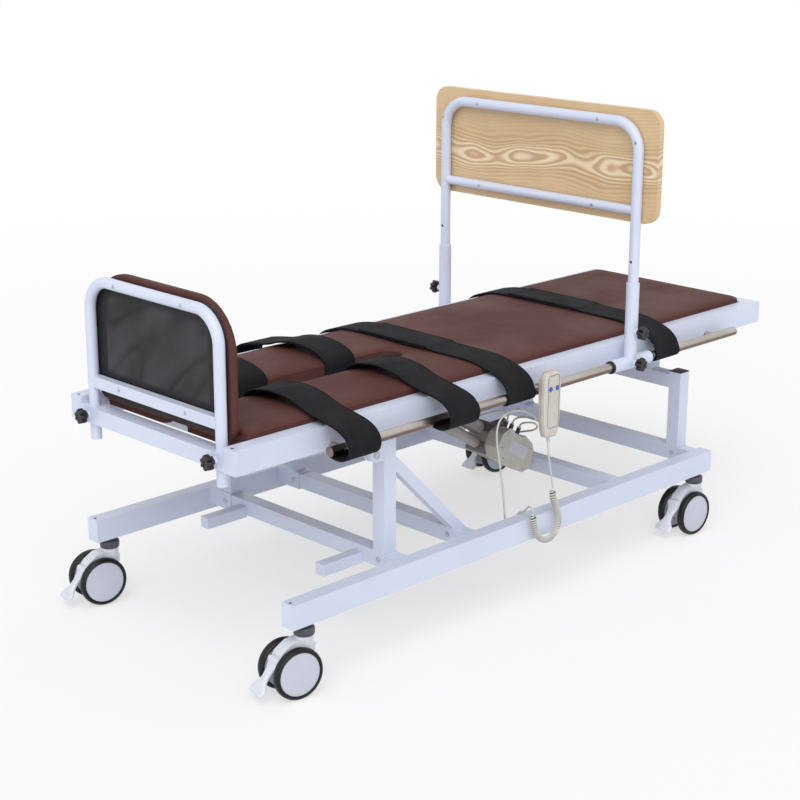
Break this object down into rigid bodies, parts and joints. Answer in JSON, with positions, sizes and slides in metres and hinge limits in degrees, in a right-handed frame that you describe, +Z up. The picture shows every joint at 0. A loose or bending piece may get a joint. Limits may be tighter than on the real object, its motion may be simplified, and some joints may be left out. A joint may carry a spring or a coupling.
{
  "type": "physiotherapy tilt table",
  "caption": "Electric tilt table with a padded couch, footboard, wooden work tray, body straps, hand control and braked twin-wheel casters.",
  "frame": {"origin": "middle of the overall box, on the floor", "axes": "+X from the foot end to the head end, +Y across from the handset side, +Z up"},
  "size_m": [2.0204, 0.8616, 1.212],
  "materials": {
    "frame_paint": "white powder coat",
    "bolt_steel": "zinc plated",
    "black_plastic": "matte",
    "collar_grey": "matte",
    "stainless": "brushed",
    "plywood": "matte",
    "brown_leather": "grained, satin",
    "black_cloth": "matte",
    "strap_webbing": "woven",
    "nylon": "matte",
    "ash_wood": "satin lacquer",
    "drive_grey": "satin",
    "box_plastic": "fine texture",
    "chrome_rod": "polished",
    "handset_plastic": "satin",
    "button_blue": "satin",
    "cord_grey": "matte",
    "knob_black": "satin",
    "caster_white": "satin",
    "wheel": "matte"
  },
  "bodies": {
    "base": {"base_rails": "frame_paint", "base_crossmembers": "frame_paint", "crossmember_brackets": "frame_paint", "crossmember_bolts": "bolt_steel", "stop_pegs": "frame_paint", "pivot_frame": "frame_paint", "pivot_ears": "frame_paint", "pivot_bolts": "bolt_steel", "head_frame": "frame_paint", "post_caps": "black_plastic", "drive_bracket": "frame_paint", "caster_stems": "collar_grey", "cord_curl": "cord_grey", "cord_tail": "cord_grey"},
    "couch": {"couch_rails": "frame_paint", "couch_cross_tubes": "frame_paint", "pivot_lugs": "frame_paint", "lift_bracket": "frame_paint", "side_rails": "stainless", "mattress_board": "plywood", "mattress": "brown_leather", "shin_straps": "strap_webbing", "knee_straps": "strap_webbing", "hip_strap": "strap_webbing", "chest_strap": "strap_webbing", "cord_lead": "cord_grey"},
    "footboard": {"footboard_frame": "frame_paint", "footboard_backing": "black_cloth", "footboard_pad": "brown_leather", "footboard_screws": "bolt_steel"},
    "foot_knob_near": {"footboard_knob_near": "knob_black"},
    "foot_knob_far": {"footboard_knob_far": "knob_black"},
    "tray_carriage": {"tray_sockets": "frame_paint", "tray_bushes": "nylon"},
    "sleeve_knob_near": {"sleeve_knob_near": "knob_black"},
    "sleeve_knob_far": {"sleeve_knob_far": "knob_black"},
    "socket_knob_near": {"socket_knob_near": "knob_black"},
    "socket_knob_far": {"socket_knob_far": "knob_black"},
    "tray": {"tray_frame": "frame_paint", "tray_board": "ash_wood", "tray_screws": "bolt_steel"},
    "drive": {"drive_housing": "drive_grey", "control_box": "box_plastic", "box_leads": "cord_grey"},
    "push_rod": {"drive_rod": "chrome_rod"},
    "handset": {"handset_shell": "handset_plastic"},
    "up_button": {"up_button": "button_blue"},
    "down_button": {"down_button": "button_blue"},
    "caster_1": {"caster_fork_1": "caster_white"},
    "wheels_1": {"caster_wheels_1": "wheel"},
    "pedal_1": {"brake_pedal_1": "caster_white"},
    "caster_2": {"caster_fork_2": "caster_white"},
    "wheels_2": {"caster_wheels_2": "wheel"},
    "pedal_2": {"brake_pedal_2": "caster_white"},
    "caster_3": {"caster_fork_3": "caster_white"},
    "wheels_3": {"caster_wheels_3": "wheel"},
    "pedal_3": {"brake_pedal_3": "caster_white"},
    "caster_4": {"caster_fork_4": "caster_white"},
    "wheels_4": {"caster_wheels_4": "wheel"},
    "pedal_4": {"brake_pedal_4": "caster_white"}
  },
  "joints": [
    {"name": "couch_tilt", "type": "hinge", "parent": "base", "child": "couch", "pos_m": [-0.55275, -0.0066, 0.481], "axis": [0, -1, 0], "range_deg": [0, 80]},
    {"name": "footboard_height", "type": "slide", "parent": "couch", "child": "footboard", "axis": [0, 0, 1], "range_m": [0, 0.045]},
    {"name": "foot_knob_near_turn", "type": "hinge", "parent": "couch", "child": "foot_knob_near", "pos_m": [-0.98575, -0.2466, 0.552], "axis": [-1, 0, 0], "range_deg": [0, 360]},
    {"name": "foot_knob_far_turn", "type": "hinge", "parent": "couch", "child": "foot_knob_far", "pos_m": [-0.98575, 0.2334, 0.552], "axis": [-1, 0, 0], "range_deg": [0, 360]},
    {"name": "tray_along_rail", "type": "slide", "parent": "couch", "child": "tray_carriage", "axis": [1, 0, 0], "range_m": [-0.2, 0.01]},
    {"name": "tray_height", "type": "slide", "parent": "tray_carriage", "child": "tray", "axis": [0, 0, 1], "range_m": [0, 0.05]},
    {"name": "sleeve_knob_near_turn", "type": "hinge", "parent": "tray_carriage", "child": "sleeve_knob_near", "pos_m": [0.35625, -0.3766, 0.54], "axis": [0, -1, 0], "range_deg": [0, 360]},
    {"name": "socket_knob_near_turn", "type": "hinge", "parent": "tray_carriage", "child": "socket_knob_near", "pos_m": [0.35625, -0.3766, 0.626], "axis": [0, -1, 0], "range_deg": [0, 360]},
    {"name": "sleeve_knob_far_turn", "type": "hinge", "parent": "tray_carriage", "child": "sleeve_knob_far", "pos_m": [0.35625, 0.3634, 0.54], "axis": [0, 1, 0], "range_deg": [0, 360]},
    {"name": "socket_knob_far_turn", "type": "hinge", "parent": "tray_carriage", "child": "socket_knob_far", "pos_m": [0.35625, 0.3634, 0.626], "axis": [0, 1, 0], "range_deg": [0, 360]},
    {"name": "drive_swing", "type": "hinge", "parent": "base", "child": "drive", "pos_m": [0.25625, -0.0066, 0.21], "axis": [0, 1, 0], "range_deg": [0, 4.01]},
    {"name": "rod_extend", "type": "slide", "parent": "drive", "child": "push_rod", "axis": [-0.8643, 0, 0.503], "range_m": [0, 0.34939]},
    {"name": "handset_lift", "type": "slide", "parent": "couch", "child": "handset", "axis": [0, 0, 1], "range_m": [0, 0.06]},
    {"name": "up_press", "type": "slide", "parent": "handset", "child": "up_button", "axis": [0, 1, 0], "range_m": [0, 0.0012], "stiffness_N_per_m": 2500},
    {"name": "down_press", "type": "slide", "parent": "handset", "child": "down_button", "axis": [0, 1, 0], "range_m": [0, 0.0012], "stiffness_N_per_m": 2500},
    {"name": "caster_1_swivel", "type": "hinge", "parent": "base", "child": "caster_1", "pos_m": [-0.84475, -0.3816, 0.138], "axis": [0, 0, 1], "continuous": true},
    {"name": "wheels_1_roll", "type": "hinge", "parent": "caster_1", "child": "wheels_1", "pos_m": [-0.88217, -0.375, 0.0625], "axis": [0.1736, 0.9848, 0], "continuous": true},
    {"name": "pedal_1_press", "type": "hinge", "parent": "caster_1", "child": "pedal_1", "pos_m": [-0.91462, -0.36928, 0.09075], "axis": [0.1736, 0.9848, 0], "range_deg": [0, 12]},
    {"name": "caster_2_swivel", "type": "hinge", "parent": "base", "child": "caster_2", "pos_m": [-0.84475, 0.3684, 0.138], "axis": [0, 0, 1], "continuous": true},
    {"name": "wheels_2_roll", "type": "hinge", "parent": "caster_2", "child": "wheels_2", "pos_m": [-0.88217, 0.375, 0.0625], "axis": [0.1736, 0.9848, 0], "continuous": true},
    {"name": "pedal_2_press", "type": "hinge", "parent": "caster_2", "child": "pedal_2", "pos_m": [-0.91462, 0.38072, 0.09075], "axis": [0.1736, 0.9848, 0], "range_deg": [0, 12]},
    {"name": "caster_3_swivel", "type": "hinge", "parent": "base", "child": "caster_3", "pos_m": [0.63525, -0.3816, 0.138], "axis": [0, 0, 1], "continuous": true},
    {"name": "wheels_3_roll", "type": "hinge", "parent": "caster_3", "child": "wheels_3", "pos_m": [0.5973, -0.37961, 0.0625], "axis": [0.0523, 0.9986, 0], "continuous": true},
    {"name": "pedal_3_press", "type": "hinge", "parent": "caster_3", "child": "pedal_3", "pos_m": [0.5644, -0.37789, 0.09075], "axis": [0.0523, 0.9986, 0], "range_deg": [0, 12]},
    {"name": "caster_4_swivel", "type": "hinge", "parent": "base", "child": "caster_4", "pos_m": [0.63525, 0.3684, 0.138], "axis": [0, 0, 1], "continuous": true},
    {"name": "wheels_4_roll", "type": "hinge", "parent": "caster_4", "child": "wheels_4", "pos_m": [0.5973, 0.37039, 0.0625], "axis": [0.0523, 0.9986, 0], "continuous": true},
    {"name": "pedal_4_press", "type": "hinge", "parent": "caster_4", "child": "pedal_4", "pos_m": [0.5644, 0.37211, 0.09075], "axis": [0.0523, 0.9986, 0], "range_deg": [0, 12]}
  ],
  "couplings": [
    {"joint": "drive_swing", "follows": "couch_tilt", "ratio": 0.049864},
    {"joint": "rod_extend", "follows": "couch_tilt", "m_per_rad": 0.24988}
  ]
}
